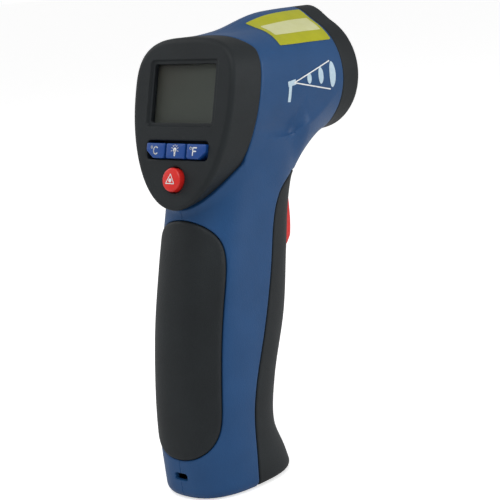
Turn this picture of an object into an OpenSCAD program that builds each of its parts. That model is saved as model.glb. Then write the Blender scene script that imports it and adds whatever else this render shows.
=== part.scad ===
// Pistol-grip infrared thermometer, built as it comes apart on a bench.
// Frame: +X is the way the nose points, +Z is up, and Y = 0 is the plane where the two half shells meet.
// The foot of the grip stands on Z = 0, and the origin is the middle of the overall footprint.
// Millimetres throughout.

/* [Overall] */
// Height of the barrel axis above the foot
axis_h = 127.2; // [112:0.1:150]
// Display face to the front of the nose ring, along the barrel axis
barrel_l = 66.2; // [58:0.1:80]
// Radius of the nose
nose_r = 20; // [18:0.1:24]
// Width of the body across the display
body_w = 42.4; // [40:0.1:50]
// Wall of the two half shells
wall = 2.2; // [1.8:0.1:2.6]

/* [Grip] */
// Width of the grip
grip_w = 34; // [32:0.1:40]
// Front-to-back length of the foot
foot_l = 45.4; // [43:0.1:50]
// Front-to-back depth of the grip at its slimmest, above the foot
waist_l = 37.4; // [36:0.1:44]
// How far the top of the grip leans ahead of the heel
grip_rake = 11.2; // [8:0.1:14]
// How far the heel is behind the display face
heel_back = 16.1; // [12:0.1:20]

/* [Display face] */
// Lean of the face back from upright, in degrees
face_tilt = 14.5; // [8:0.5:18]
// Face above the barrel axis, measured up the face
face_top = 17.7; // [16:0.1:21]
// Face below the barrel axis, measured down the face
face_drop = 36.7; // [35:0.1:42]
// Depth of the black skirt along the sides
skirt_l = 12.7; // [11:0.1:16]
// Thickness of the face plate
face_t = 2.4; // [2:0.1:3]
// Visible window, width
win_w = 26; // [20:0.1:27]
// Visible window, height
win_h = 18.4; // [14:0.1:19]
// Depth of the window pane below the face
win_deep = 1.5; // [1:0.1:1.8]
// Width of one small key
key_w = 7.9; // [6:0.1:8.4]
// Height of one small key
key_h = 4.7; // [3.5:0.1:5.4]
// Spacing of the small keys
key_pitch = 8.7; // [8.7:0.1:9.4]
// Small keys below the barrel axis, measured down the face
key_drop = 17.6; // [17:0.1:19]
// Radius of the round laser key
laser_key_r = 3.75; // [3:0.05:4.4]
// Laser key below the barrel axis, measured down the face
laser_key_drop = 26.6; // [25.5:0.1:28]
// How far a small key stands out of the face
key_out = 0.8; // [0.5:0.1:1.5]
// How far the laser key stands out of the face
laser_key_out = 1.8; // [1.2:0.1:2.5]
// Travel of every key
key_travel = 0.6; // [0.3:0.1:0.8]

/* [Nose] */
// Length of the nose ring
ring_l = 9.6; // [8:0.1:12]
// Radius of the laser ridge on top of the barrel
ridge_r = 6.6; // [5.8:0.1:7.5]
// Height of the ridge above the round of the nose
ridge_up = 2.7; // [2:0.1:4]
// Radius of the opening in the front of the nose ring
mouth_r = 12.2; // [10:0.1:12.4]
// Radius of the lens
lens_r = 6; // [4.5:0.1:7]
// Length of the cone from the mouth to the lens
cone_l = 18; // [14:0.1:22]
// Radius of the laser module
laser_r = 3; // [2.5:0.1:3.4]

/* [Pad, door and trigger] */
// Half the width of the grip pad
pad_y = 13.5; // [10:0.1:14]
// Thickness of the grip pad
pad_t = 1.5; // [1.2:0.1:1.8]
// How far the pad stands proud of the shells
pad_proud = 0.5; // [0.3:0.1:0.8]
// Wall of the battery door
door_t = 1.9; // [1.5:0.1:2.2]
// Gap along the door's seam
door_gap = 0.4; // [0.3:0.05:0.6]
// Width of the trigger
trigger_w = 11; // [8:0.1:13]
// How far the trigger stands out of the door
trigger_out = 3.4; // [2.5:0.1:5]
// Radius of the hinge pins of the door and the trigger
pin_r = 1; // [0.8:0.05:1.2]
// Radial running clearance of a hinge pin
pin_fit = 0.06; // [0.03:0.01:0.1]

/* [Battery] */
// Battery width, front to back
cell_w = 26.5; // [24:0.1:27]
// Battery thickness, side to side
cell_t = 17.5; // [15:0.1:19]
// Battery height without its studs
cell_h = 46.4; // [42:0.1:49]

/* [Hidden] */
$fn = 40;

blue = [0.19, 0.32, 0.49];
black = [0.17, 0.18, 0.19];
red = [0.88, 0.13, 0.15];

clear = 0.3;                      // gap between pieces that move past each other
seat = 0.1;                       // gap round a piece that sits in a pocket
heel_x = pad_proud - (barrel_l + heel_back + pad_proud) / 2;
face_x = heel_x + heel_back;
front_x = face_x + barrel_l;
ring_x = front_x - ring_l;
body_l = barrel_l - ring_l;
neck_z = axis_h - 38.7;           // where the grip runs into the barrel
crown_z = neck_z + 21.5;          // top of the grip's own surface, inside the barrel
ridge_z = axis_h + nose_r + ridge_up - ridge_r;

// ---------- Curves ----------
// Tables hold one station a row: the place first, then the sizes there. at() joins them smoothly.
function row(T, s, i = 0) = i >= len(T) - 2 || s <= T[i + 1][0] ? i : row(T, s, i + 1);
function lean(T, c, i) = let (a = max(i - 1, 0), b = min(i + 1, len(T) - 1))
  (T[b][c] - T[a][c]) / (T[b][0] - T[a][0]);
function at(T, c, place) = let (s = min(max(place, T[0][0]), T[len(T) - 1][0]), i = row(T, s),
    h = T[i + 1][0] - T[i][0], u = (s - T[i][0]) / h)
  (2 * u ^ 3 - 3 * u ^ 2 + 1) * T[i][c] + (u ^ 3 - 2 * u ^ 2 + u) * h * lean(T, c, i)
  + (3 * u ^ 2 - 2 * u ^ 3) * T[i + 1][c] + (u ^ 3 - u ^ 2) * h * lean(T, c, i + 1);
function spow(v, e) = sign(v) * abs(v) ^ e;
function ease(u) = let (k = min(max(u, 0), 1)) k * k * (3 - 2 * k);
function mean(P) = [for (c = [0:2]) [for (p = P) p[c]] * [for (p = P) 1] / len(P)];

// Grip: height, rear, front, half width, squareness of the section
GRIP = [
  [0,               heel_x + 0.03 * grip_rake, heel_x + 0.3 + foot_l,                grip_w / 2 - 1.5, 2.5],
  [0.085 * neck_z,  heel_x,                    heel_x + foot_l - 2.7,                grip_w / 2 - 1.3, 2.5],
  [0.215 * neck_z,  heel_x + 0.01 * grip_rake, heel_x + waist_l,                     grip_w / 2 - 0.8, 2.5],
  [0.379 * neck_z,  heel_x + 0.09 * grip_rake, heel_x + 0.09 * grip_rake + waist_l + 0.8,  grip_w / 2 - 0.2, 2.5],
  [0.605 * neck_z,  heel_x + 0.28 * grip_rake, heel_x + 0.28 * grip_rake + waist_l + 6.1,  grip_w / 2, 2.5],
  [0.831 * neck_z,  heel_x + 0.66 * grip_rake, heel_x + 0.66 * grip_rake + waist_l + 5.9,  grip_w / 2 - 0.4, 2.5],
  [neck_z,          heel_x + grip_rake,        heel_x + grip_rake + waist_l + 5.1,   grip_w / 2 - 0.4, 2.4],
  [neck_z + 11.5,   heel_x + 1.26 * grip_rake, heel_x + 1.26 * grip_rake + waist_l + 6.6, grip_w / 2 + 0.2, 2.3],
  [crown_z,         heel_x + 1.43 * grip_rake, heel_x + 1.43 * grip_rake + waist_l + 12.6, grip_w / 2 + 0.8, 2.2]];
// Body: distance ahead of the face, tilt of the section, half width, top and its squareness, bottom
BODY = [
  [0,             face_tilt,       body_w / 2,                         face_top,       3.1, face_drop],
  [skirt_l + 0.5, 0.9 * face_tilt, body_w / 2,                         face_top + 0.4, 2.9, face_drop - 3.5],
  [0.55 * body_l, 0.4 * face_tilt, (body_w / 2 + nose_r) / 2,          nose_r - 0.2,   2.3, nose_r + 5],
  [0.8 * body_l,  0.1 * face_tilt, 0.15 * body_w / 2 + 0.85 * nose_r,  nose_r,         2.1, nose_r + 1],
  [body_l,        0,               nose_r,                             nose_r,         2,   nose_r]];
// Seam of the battery door: height, x of the seam on the side of the grip
door_low = 0.5;
door_top = neck_z + 9.5;
SEAM = [
  [0,              heel_x + 20.3],
  [0.1 * neck_z,   heel_x + 20.2],
  [0.28 * neck_z,  heel_x + 19.8],
  [0.4 * neck_z,   heel_x + 21.8],
  [0.58 * neck_z,  heel_x + 0.3 * grip_rake + 24.1],
  [0.78 * neck_z,  heel_x + 0.6 * grip_rake + 26.4],
  [0.965 * neck_z, heel_x + 0.9 * grip_rake + 26.8],
  [neck_z + 3.5,   heel_x + grip_rake + 28.8],
  [neck_z + 6.5,   heel_x + grip_rake + 32],
  [door_top,       heel_x + grip_rake + 38]];

// Point of the grip's surface at a height and an angle round from the front, moved out by off
function grip_at(z, a, off = 0) = let (r = at(GRIP, 1, z), f = at(GRIP, 2, z), n = 2 / at(GRIP, 4, z))
  [(f + r) / 2 + ((f - r) / 2 + off) * spow(cos(a), n), (at(GRIP, 3, z) + off) * spow(sin(a), n), z];
// Angle at which the grip's section is at a given x, or at a given y on the rear
function angle_at_x(z, x) = let (r = at(GRIP, 1, z), f = at(GRIP, 2, z))
  acos(spow(min(max((2 * x - f - r) / (f - r), -1), 1), at(GRIP, 4, z) / 2));
function angle_at_y(z, y) = asin(min(y / at(GRIP, 3, z), 1) ^ (at(GRIP, 4, z) / 2));

// Point of the body's surface d ahead of the face, at an angle up from the +Y side
function body_at(d, a, off = 0) = let (up = sin(a) >= 0, n = 2 / (up ? at(BODY, 4, d) : 2), t = at(BODY, 1, d),
    v = ((up ? at(BODY, 3, d) : at(BODY, 5, d)) + off) * spow(sin(a), n))
  [face_x + d + v * sin(t), (at(BODY, 2, d) + off) * spow(cos(a), n), axis_h + v * cos(t)];
// Outline of the display face, in the plane of the face
function face_at(a, off = 0) = let (up = sin(a) >= 0, n = 2 / (up ? BODY[0][4] : 2))
  [(body_w / 2 + off) * spow(cos(a), n), ((up ? face_top : face_drop) + off) * spow(sin(a), n)];
// Depth of the skirt, which is shorter over the top and runs out toward the chin
function skirt_at(a) = let (v = face_at(a)[1])
  skirt_l - 3.7 * ease((v - 0.68 * face_top) / (0.32 * face_top)) - (skirt_l - 5) * ease((-v - 0.66 * face_drop) / (0.34 * face_drop));

// ---------- Solids from rings and grids ----------
// Rings of one length, joined in order and closed at both ends round a middle point
module loft(R) {
  n = len(R[0]);
  m = len(R);
  polyhedron(points = concat([for (r = R) each r], [mean(R[0]), mean(R[m - 1])]),
    faces = concat(
      [for (i = [0:m - 2], j = [0:n - 1]) let (k = (j + 1) % n) each
        [[i * n + j, (i + 1) * n + k, i * n + k], [i * n + j, (i + 1) * n + j, (i + 1) * n + k]]],
      [for (j = [0:n - 1]) [m * n, j, (j + 1) % n]],
      [for (j = [0:n - 1]) [m * n + 1, (m - 1) * n + (j + 1) % n, (m - 1) * n + j]]));
}
// An outer and an inner grid of one size, closed along their edges
module sheet(O, I) {
  m = len(O);
  n = len(O[0]);
  k = m * n;
  polyhedron(points = concat([for (r = O) each r], [for (r = I) each r]),
    faces = concat(
      [for (i = [0:m - 2], j = [0:n - 2]) let (a = i * n + j) each
        [[a, a + n, a + n + 1], [a, a + n + 1, a + 1], [k + a, k + a + n + 1, k + a + n], [k + a, k + a + 1, k + a + n + 1]]],
      [for (i = [0:m - 2]) let (a = i * n, b = a + n - 1) each
        [[a, k + a, k + a + n], [a, k + a + n, a + n], [b, k + b + n, k + b], [b, b + n, k + b + n]]],
      [for (j = [0:n - 2]) let (a = j, b = (m - 1) * n + j) each
        [[a, a + 1, k + a + 1], [a, k + a + 1, k + a], [b, k + b + 1, b + 1], [b, k + b, k + b + 1]]]));
}

// ---------- Outer and inner forms of the two half shells, +Y side ----------
side_steps = 16;
grip_z = concat([0, 0.5, 1.5], [for (i = [1:20]) 1.5 + (crown_z - 1.5) * i / 20]);
foot_round = [-1.5, -0.44, 0];
module grip_half(off = 0, low = 0) {
  loft([for (i = [0:len(grip_z) - 1]) let (z = max(grip_z[i], low + i * 0.01), o = off + (i < 3 && off == 0 ? foot_round[i] : 0))
    [for (j = [0:side_steps]) grip_at(z, j * 180 / side_steps, o)]]);
}
module body_half(off = 0, over = 0) {
  steps = 9;
  loft([for (i = [0:steps]) [for (j = [0:side_steps]) let (a = j * 180 / side_steps - 90,
      d0 = skirt_at(a) + seat - over, d = d0 + (body_l - d0) * i / steps + (i == steps ? over : 0)) body_at(d, a, off)]]);
}
module face_place() {
  translate([face_x, 0, axis_h]) rotate([0, face_tilt, 0]) rotate([90, 0, -90]) children();
}
module plate(w, h, r, t) {
  linear_extrude(height = t) polygon([for (q = [0:3], k = [0:4]) let (a = q * 90 + k * 22.5)
    [(q == 0 || q == 3 ? 1 : -1) * (w / 2 - r) + r * cos(a), (q < 2 ? 1 : -1) * (h / 2 - r) + r * sin(a)]]);
}

// Full outline of the display bezel: a cup whose face is flat, whose edge is rounded and whose rim is the skirt
face_edge = 1.6;
face_turn = 40;
module face_cup(off = 0, deep = 0, over = 0) {
  rim = [for (j = [0:face_turn - 1]) j * 360 / face_turn];
  function ring(o, depth) = [for (a = rim) let (p = face_at(a, off + o), s = depth < 0 ? skirt_at(a) + over : depth)
    [face_x + s + p[1] * sin(face_tilt), p[0], axis_h + p[1] * cos(face_tilt)]];
  loft(concat(deep > 0 ? [ring(0, deep)] : [for (k = [0:3]) ring(-face_edge * (1 - sin(k * 30)), face_edge * (1 - cos(k * 30)))],
    [ring(0, -1)]));
}

// ---------- Patches of the grip's skin ----------
pad_low = 0.149 * neck_z;
pad_high = neck_z - 0.3;
module pad_patch(outer, inner, grow = 0) {
  rows = 17;
  cols = 10;
  function half_y(t) = (pad_y + grow) * sqrt(1 - abs(t) ^ 8);
  function grid(off, edge) = [for (i = [0:rows]) let (t = sin(-84 + 168 * i / rows), w = half_y(t),
      z = (pad_low + pad_high) / 2 + t * ((pad_high - pad_low) / 2 + grow), lim = angle_at_y(z, w))
    [for (j = [0:cols]) let (e = (i == 0 || i == rows || j == 0 || j == cols) ? edge : off)
      grip_at(z, 180 - lim + 2 * lim * j / cols, e)]];
  sheet(grid(outer, grow > 0 ? outer : 0.05), grid(inner, inner));
}
// Front of the grip out to the seam, from one depth of the skin to another
module door_patch(outer, inner, gap = 0) {
  rows = 24;
  cols = 12;
  low = gap > 0 ? -1 : door_low;
  high = door_top + gap;
  function grid(off) = [for (i = [0:rows]) let (z = low + (high - low) * i / rows, s = max(z, 0),
      lim = angle_at_x(s, at(SEAM, 1, s) - gap))
    [for (j = [0:cols]) let (p = grip_at(s, -lim + 2 * lim * j / cols, off)) [p[0], p[1], z]]];
  sheet(grid(outer), grid(inner));
}

// ---------- Places shared by several pieces ----------
knuckle_r = pin_r + 1;
door_pin_z = knuckle_r + 1.1;
door_pin_x = at(GRIP, 2, door_pin_z + knuckle_r) - door_t - knuckle_r - 0.5;
knuckle_in = 3;                   // inner and outer ends of the shells' hinge arms
knuckle_out = 5;
hub_r = pin_r + 2;
trigger_pin_x = at(GRIP, 2, neck_z) - 9;
trigger_pin_z = neck_z + 7;
trigger_swing = 7;
trigger_low = neck_z - 16;
trigger_high = neck_z + 3;
bracket_in = trigger_w / 2 + 0.7;
window_v = 0.5;
face_spots = [[0.42 * body_w - 0.8, -0.7], [0.22 * body_w - 0.4, face_top - 4.1]];
board_deep = 8.6;
board_t = 1.6;
board_up = board_deep * tan(face_tilt);
tongue = laser_key_r + 2;
mat_deep = face_t + 1.8 + key_travel;
laser_x = ring_x - 5;
lens_x = front_x - cone_l;
sensor_x = lens_x - 9;
cell_z = 13.6;
tray_t = 1.5;
cell_gap = 0.4;
cell_x = at(GRIP, 1, 19) + wall + tray_t + cell_gap + 0.8 + cell_w / 2;
cell_lean = atan((at(GRIP, 1, cell_z + cell_h) - at(GRIP, 1, 19) + 2.2) / (cell_z + cell_h - 19));
post_r = 2.6;
screw_r = 0.8;
screw_spots = [[ring_x - 7, axis_h - nose_r + 5.2], [face_x + 24, axis_h + nose_r - 7.2],
  [at(GRIP, 1, neck_z) + 8.5, neck_z - 6.5], [heel_x + 13.5, 6.2]];
function wall_y(s) = s[1] > neck_z + 12 ? sqrt(nose_r ^ 2 - (s[1] - axis_h) ^ 2) : at(GRIP, 3, s[1]);

// ---------- Housing ----------
// Arm for the door's pin and bracket for the trigger's pin, on the +Y side
module hinge_arm() {
  difference() {
    union() {
      translate([door_pin_x, knuckle_in, door_pin_z]) rotate([-90, 0, 0]) cylinder(r = knuckle_r - 0.1, h = knuckle_out - knuckle_in);
      translate([door_pin_x - 6, knuckle_in, 1]) cube([6, knuckle_out - knuckle_in, door_pin_z + 0.9 - 1]);
    }
    translate([door_pin_x, 0, door_pin_z]) rotate([-90, 0, 0]) cylinder(r = pin_r + 0.02, h = 20);
  }
}
module trigger_bracket() {
  difference() {
    union() {
      translate([trigger_pin_x - 3, bracket_in, trigger_pin_z - 3]) cube([6, 2, 9]);
      translate([trigger_pin_x - 3, bracket_in, door_top + 1]) cube([6, wall_y([0, door_top + 1]) - 1 - bracket_in, 2]);
    }
    translate([trigger_pin_x, 0, trigger_pin_z]) rotate([-90, 0, 0]) cylinder(r = pin_r + 0.02, h = 20);
  }
}
module tray_rib(low) {
  z = low ? 0.25 * neck_z : 0.62 * neck_z;
  translate([(at(GRIP, 1, z) + at(SEAM, 1, z)) / 2 - 1, cell_t / 2 + tray_t + 0.5, z - 6])
    cube([2, grip_w / 2 - 1.9 - cell_t / 2 - tray_t - 0.5, 12]);
}
// Ridge over the laser, rising from the top of the body to the nose
module laser_ridge() {
  difference() {
    intersection() {
      hull() {
        translate([ring_x - 15, 0, ridge_z]) rotate([0, 90, 0]) cylinder(r = ridge_r, h = 15, $fn = 32);
        translate([face_x + 0.5 * body_l, 0, axis_h + nose_r - ridge_r]) rotate([0, 90, 0]) cylinder(r = ridge_r - 0.4, h = 1, $fn = 32);
      }
      translate([face_x, 0, axis_h]) cube([2 * barrel_l, nose_r, 2 * nose_r]);
    }
    translate([ring_x - 30, 0, axis_h]) rotate([0, 90, 0]) cylinder(r = nose_r - wall, h = 40);
  }
}
// One half shell, on the +Y side; the one with screw heads has deep counterbores
module half_shell(heads) {
  difference() {
    union() {
      difference() {
        union() { grip_half(); body_half(); laser_ridge(); }
        union() { grip_half(-wall, wall); body_half(-wall, 2); }
      }
      for (s = screw_spots) translate([s[0], 0, s[1]]) rotate([-90, 0, 0]) cylinder(r = post_r, h = wall_y(s) - 1);
      tray_rib(true);
      tray_rib(false);
    }
    for (s = screw_spots) translate([s[0], 0, s[1]]) rotate([-90, 0, 0])
      if (heads) {
        translate([0, 0, -1]) cylinder(r = screw_r + 0.3, h = grip_w);
        translate([0, 0, 5]) cylinder(r = 1.9, h = grip_w);
      } else translate([0, 0, -1]) cylinder(r = screw_r, h = 8);
    pad_patch(pad_proud + 2, -pad_t + pad_proud - 2 * seat, seat);
    door_patch(4, -wall - 0.6, door_gap);
    translate([door_pin_x - 3.1, -1, -1]) cube([30, grip_w, wall + 2]);
    face_cup(seat, 0, seat);
    translate([laser_x - 20, 0, ridge_z - 0.5]) rotate([0, 90, 0]) cylinder(r = laser_r + 0.2, h = 40);
    translate([heel_x - 1, -1, 6.3]) cube([9, 3.7, 2.4]);
  }
  hinge_arm();
  trigger_bracket();
}
module left_shell() { color(blue) half_shell(true); }
module right_shell() { color(blue) mirror([0, 1, 0]) half_shell(false); }

// Four self-tapping screws, entered from the left
module housing_screws() {
  color("silver") for (s = screw_spots) translate([s[0], 0, s[1]]) rotate([-90, 0, 0]) {
    translate([0, 0, -6]) cylinder(r = screw_r, h = 11.1);
    difference() {
      translate([0, 0, 5]) cylinder(r = 1.7, h = 1.4);
      translate([0, 0, 5.8]) for (t = [0, 90]) rotate(t) translate([-1.1, -0.25, 0]) cube([2.2, 0.5, 2]);
    }
  }
}

// ---------- Display face ----------
key_open = 0.3;
module face_posts(r, from, h) {
  for (p = face_spots, m = [-1, 1])
    translate([m * p[0], p[1], -from]) mirror([0, 0, 1]) cylinder(r = r, h = h);
}
module display_bezel() {
  color(black) difference() {
    union() {
      difference() {
        face_cup();
        face_cup(-wall, face_t, 2);
      }
      face_place() face_posts(1.7, face_t - 0.2, board_deep - face_t + 0.2);
    }
    face_place() {
      face_posts(0.7, face_t + 1, board_deep);
      hull() {
        translate([0, window_v, 0.05]) plate(win_w + 4, win_h + 3.4, 2, 0.1);
        translate([0, window_v, -win_deep]) plate(win_w + 0.8, win_h + 0.8, 1.2, 0.1);
      }
      translate([0, window_v, -face_t]) plate(win_w, win_h, 1, face_t);
      translate([0, window_v, -face_t - 5]) plate(win_w + 2.6, win_h + 2.6, 1, 5 + face_t - win_deep);
      translate([0, -key_drop, -face_t - 1]) plate(2 * key_pitch + key_w + 2 * key_open, key_h + 2 * key_open, 1, face_t + 2);
      translate([0, -laser_key_drop, -face_t - 1]) cylinder(r = laser_key_r + key_open, h = face_t + 2);
    }
  }
}
module display_window() {
  color([0.75, 0.8, 0.8, 0.4]) face_place() translate([0, window_v, -win_deep - 0.9]) plate(win_w + 2.4, win_h + 2.4, 0.9, 0.9);
}
module lcd_panel() {
  color([0.32, 0.34, 0.32]) face_place() translate([0, window_v, -win_deep - 3.3]) plate(win_w + 3, win_h + 3, 0.5, 2.1);
}
module lcd_backlight() {
  color("white") face_place() translate([0, window_v, -board_deep + 0.1]) difference() {
    plate(win_w + 4, win_h + 4, 0.8, board_deep - win_deep - 3.5);
    translate([0, -win_h / 2 - 0.4, -1]) plate(win_w - 2, 2, 0.3, 10);
  }
}
module contact_strip() {
  color("dimgray") face_place() translate([0, window_v - win_h / 2 - 0.4, -board_deep + 0.1])
    plate(win_w - 2.6, 1.5, 0.3, board_deep - win_deep - 3.5);
}
module main_board() {
  color("darkgreen") difference() {
    face_place() translate([0, 0, -board_deep - board_t]) linear_extrude(height = board_t)
      polygon(concat([for (j = [0:52]) let (p = face_at(j * 4.5 - 27, -wall - 1)) [p[0], p[1] + board_up]],
        [[-tongue, 2 * board_up - 0.6 * face_drop], [-tongue, -laser_key_drop - 4.4], [tongue, -laser_key_drop - 4.4],
        [tongue, 2 * board_up - 0.6 * face_drop]]));
    face_place() face_posts(0.9, board_deep - 1, board_t + 2);
  }
}
module controller_chip() {
  color("dimgray") face_place() translate([0, 4, -board_deep - board_t - 1.6]) plate(12, 12, 0.3, 1.5);
}
module buzzer() {
  color("dimgray") face_place() translate([0, -20, -board_deep - board_t - 3.6]) difference() {
    cylinder(r = 5, h = 3.5);
    translate([0, 0, -1]) cylinder(r = 1, h = 2);
  }
}
module board_screws() {
  color("silver") face_place() {
    face_posts(0.65, board_deep - 4, board_t + 4.05);
    difference() {
      face_posts(1.6, board_deep + board_t, 1);
      for (p = face_spots, m = [-1, 1], t = [0, 90])
        translate([m * p[0], p[1], -board_deep - board_t - 1.5]) rotate(t)
          translate([-1, -0.22, 0]) cube([2, 0.44, 1]);
    }
  }
}
module keypad_mat() {
  color([0.3, 0.3, 0.32]) face_place() {
    translate([0, -key_drop, -mat_deep - 0.8]) plate(2 * key_pitch + key_w - 3.4, key_h + 3.6, 2, 0.8);
    translate([0, -laser_key_drop, -mat_deep - 0.8]) cylinder(r = laser_key_r + 0.9, h = 0.8);
    translate([-4, -laser_key_drop, -mat_deep - 0.8]) cube([8, laser_key_drop - key_drop, 0.8]);
    for (m = [-1, 0, 1]) translate([m * key_pitch, -key_drop, -board_deep + 0.1]) cylinder(r = 2, h = board_deep - mat_deep - 0.8);
    translate([0, -laser_key_drop, -board_deep + 0.1]) cylinder(r = 2.4, h = board_deep - mat_deep - 0.8);
  }
}
// A small key: the cap through the slot, and the lips that keep it behind the face
module key_cap(corner) {
  translate([0, -key_drop, 0]) {
    translate([0, 0, -face_t - 1]) linear_extrude(height = face_t + 1 + key_out) polygon([[-key_w / 2, key_h / 2],
      [-key_w / 2, corner < 0 ? -key_h / 2 + 1.8 : -key_h / 2 + 0.3], [corner < 0 ? -key_w / 2 + 2.4 : -key_w / 2 + 0.3, -key_h / 2],
      [corner > 0 ? key_w / 2 - 2.4 : key_w / 2 - 0.3, -key_h / 2], [key_w / 2, corner > 0 ? -key_h / 2 + 1.8 : -key_h / 2 + 0.3],
      [key_w / 2, key_h / 2]]);
    translate([0, 0, -face_t - 1.1]) plate(key_w, key_h + 2.4, 0.4, 0.9);
  }
}
module celsius_key() { color([0.11, 0.29, 0.62]) face_place() translate([-key_pitch, 0, 0]) key_cap(-1); }
module backlight_key() { color([0.11, 0.29, 0.62]) face_place() key_cap(0); }
module fahrenheit_key() { color([0.11, 0.29, 0.62]) face_place() translate([key_pitch, 0, 0]) key_cap(1); }
module laser_key() {
  r = laser_key_r;
  color(red) face_place() translate([0, -laser_key_drop, 0]) rotate_extrude()
    polygon(concat([[0, -face_t - 1.1], [r + 1, -face_t - 1.1], [r + 1, -face_t - 0.2], [r, -face_t - 0.2]],
      [for (k = [0:4]) [r - 0.8 + 0.8 * cos(k * 20), laser_key_out - 0.8 + 0.8 * sin(k * 20)]], [[0, laser_key_out]]));
}

// ---------- Grip ----------
module rear_grip_pad() { color(black) pad_patch(pad_proud, -pad_t + pad_proud); }
module battery_door() {
  color(black) difference() {
    union() {
      door_patch(0, -door_t);
      for (m = [-1, 1]) translate([door_pin_x, m > 0 ? knuckle_out + 0.2 : -knuckle_out - 2.4, door_pin_z]) {
        rotate([-90, 0, 0]) cylinder(r = knuckle_r, h = 2.2);
        translate([0, 0, -knuckle_r]) cube([at(GRIP, 2, door_pin_z + knuckle_r) - 1.7 - door_pin_x, 2.2, 2 * knuckle_r]);
      }
    }
    translate([door_pin_x, -20, door_pin_z]) rotate([-90, 0, 0]) cylinder(r = pin_r + pin_fit, h = 40);
    translate([trigger_pin_x, -trigger_w / 2 - 0.6, trigger_low - 1.6]) cube([30, trigger_w + 1.2, trigger_high - trigger_low + 2.5]);
  }
}
module door_pin() {
  color("silver") translate([door_pin_x, -knuckle_out - 2.4, door_pin_z]) rotate([-90, 0, 0]) cylinder(r = pin_r, h = 2 * knuckle_out + 4.8);
}
function trigger_front(u) = let (z = trigger_high + (trigger_low - trigger_high) * u)
  [at(GRIP, 2, z) + trigger_out * (0.35 + 0.65 * sin(min(u * 1.3, 1) * 90) - 0.35 * ease((u - 0.8) / 0.2)), z];
module trigger() {
  top = at(GRIP, 2, trigger_high);
  low = at(GRIP, 2, trigger_low);
  color(red) difference() {
    union() {
      translate([0, trigger_w / 2, 0]) rotate([90, 0, 0]) linear_extrude(height = trigger_w)
        polygon(concat([for (u = [0:0.1:1]) trigger_front(u)],
          [[low - 4.5, trigger_low + 0.6], [low - 6, trigger_low + 6], [trigger_pin_x - 1, trigger_pin_z - hub_r],
          [trigger_pin_x - 1, trigger_pin_z + 1], [top - 3.4, trigger_high + 0.6]]));
      translate([trigger_pin_x, trigger_w / 2, trigger_pin_z]) rotate([90, 0, 0]) cylinder(r = hub_r, h = trigger_w);
    }
    translate([trigger_pin_x, -20, trigger_pin_z]) rotate([-90, 0, 0]) cylinder(r = pin_r + pin_fit, h = 40);
    for (m = [0, 1]) mirror([0, m, 0]) translate([trigger_pin_x - 5, trigger_w / 2 - 1.4, trigger_pin_z - hub_r - 1])
      cube([5 + hub_r + 1, 3, 2 * hub_r + 2]);
  }
}
module trigger_pin() {
  color("silver") translate([trigger_pin_x, -bracket_in - 2, trigger_pin_z]) rotate([-90, 0, 0]) cylinder(r = pin_r, h = 2 * bracket_in + 4);
}
// Coil of the return spring round the pin, beside the hub
module trigger_spring() {
  color("silver") translate([trigger_pin_x, trigger_w / 2 - 1.2, trigger_pin_z]) rotate([-90, 0, 0]) difference() {
    cylinder(r = pin_r + 1, h = 1.6);
    translate([0, 0, -1]) cylinder(r = pin_r + 0.3, h = 4);
  }
}
module trigger_switch() {
  z = trigger_low + 7;
  color("dimgray") translate([at(GRIP, 2, z) - 17.5, 0, z]) {
    translate([0, -3, -3]) cube([4, 6, 6]);
    translate([4, 0, 0]) rotate([0, 90, 0]) cylinder(r = 1.6, h = 1.5);
  }
}

// ---------- Battery ----------
module cell_place() { translate([cell_x, 0, cell_z]) rotate([0, cell_lean, 0]) children(); }
module battery() {
  color([0.55, 0.56, 0.58]) cell_place() {
    plate(cell_w, cell_t, 2, cell_h);
    for (m = [-1, 1]) translate([m * cell_w / 4, 0, cell_h]) cylinder(r = m > 0 ? 2.9 : 3.4, h = 1.9);
  }
}
module battery_snap() {
  color("black") cell_place() translate([0, 0, cell_h + 0.1]) difference() {
    plate(cell_w - 1, cell_t - 5, 3, 3.4);
    for (m = [-1, 1]) translate([m * cell_w / 4, 0, -1]) cylinder(r = m > 0 ? 3 : 3.5, h = 3);
  }
}
module battery_tray() {
  c = cell_gap;
  back = cell_w / 2 + c;
  side = cell_t / 2 + c;
  color(black) cell_place() {
    translate([-0.5, 0, -c - tray_t]) plate(cell_w - 2, 2 * (side + tray_t), 5, tray_t);
    translate([-back - tray_t, -0.3 * cell_t, -c - tray_t]) cube([tray_t, 0.6 * cell_t, 0.9 * cell_h]);
    translate([-back - tray_t, -0.3 * cell_t, -c - tray_t]) cube([tray_t + 4, 0.6 * cell_t, tray_t]);
    for (m = [0, 1]) mirror([0, m, 0]) translate([-0.3 * cell_w, side, -c - tray_t]) cube([0.5 * cell_w, tray_t, 0.9 * cell_h]);
  }
}

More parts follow.
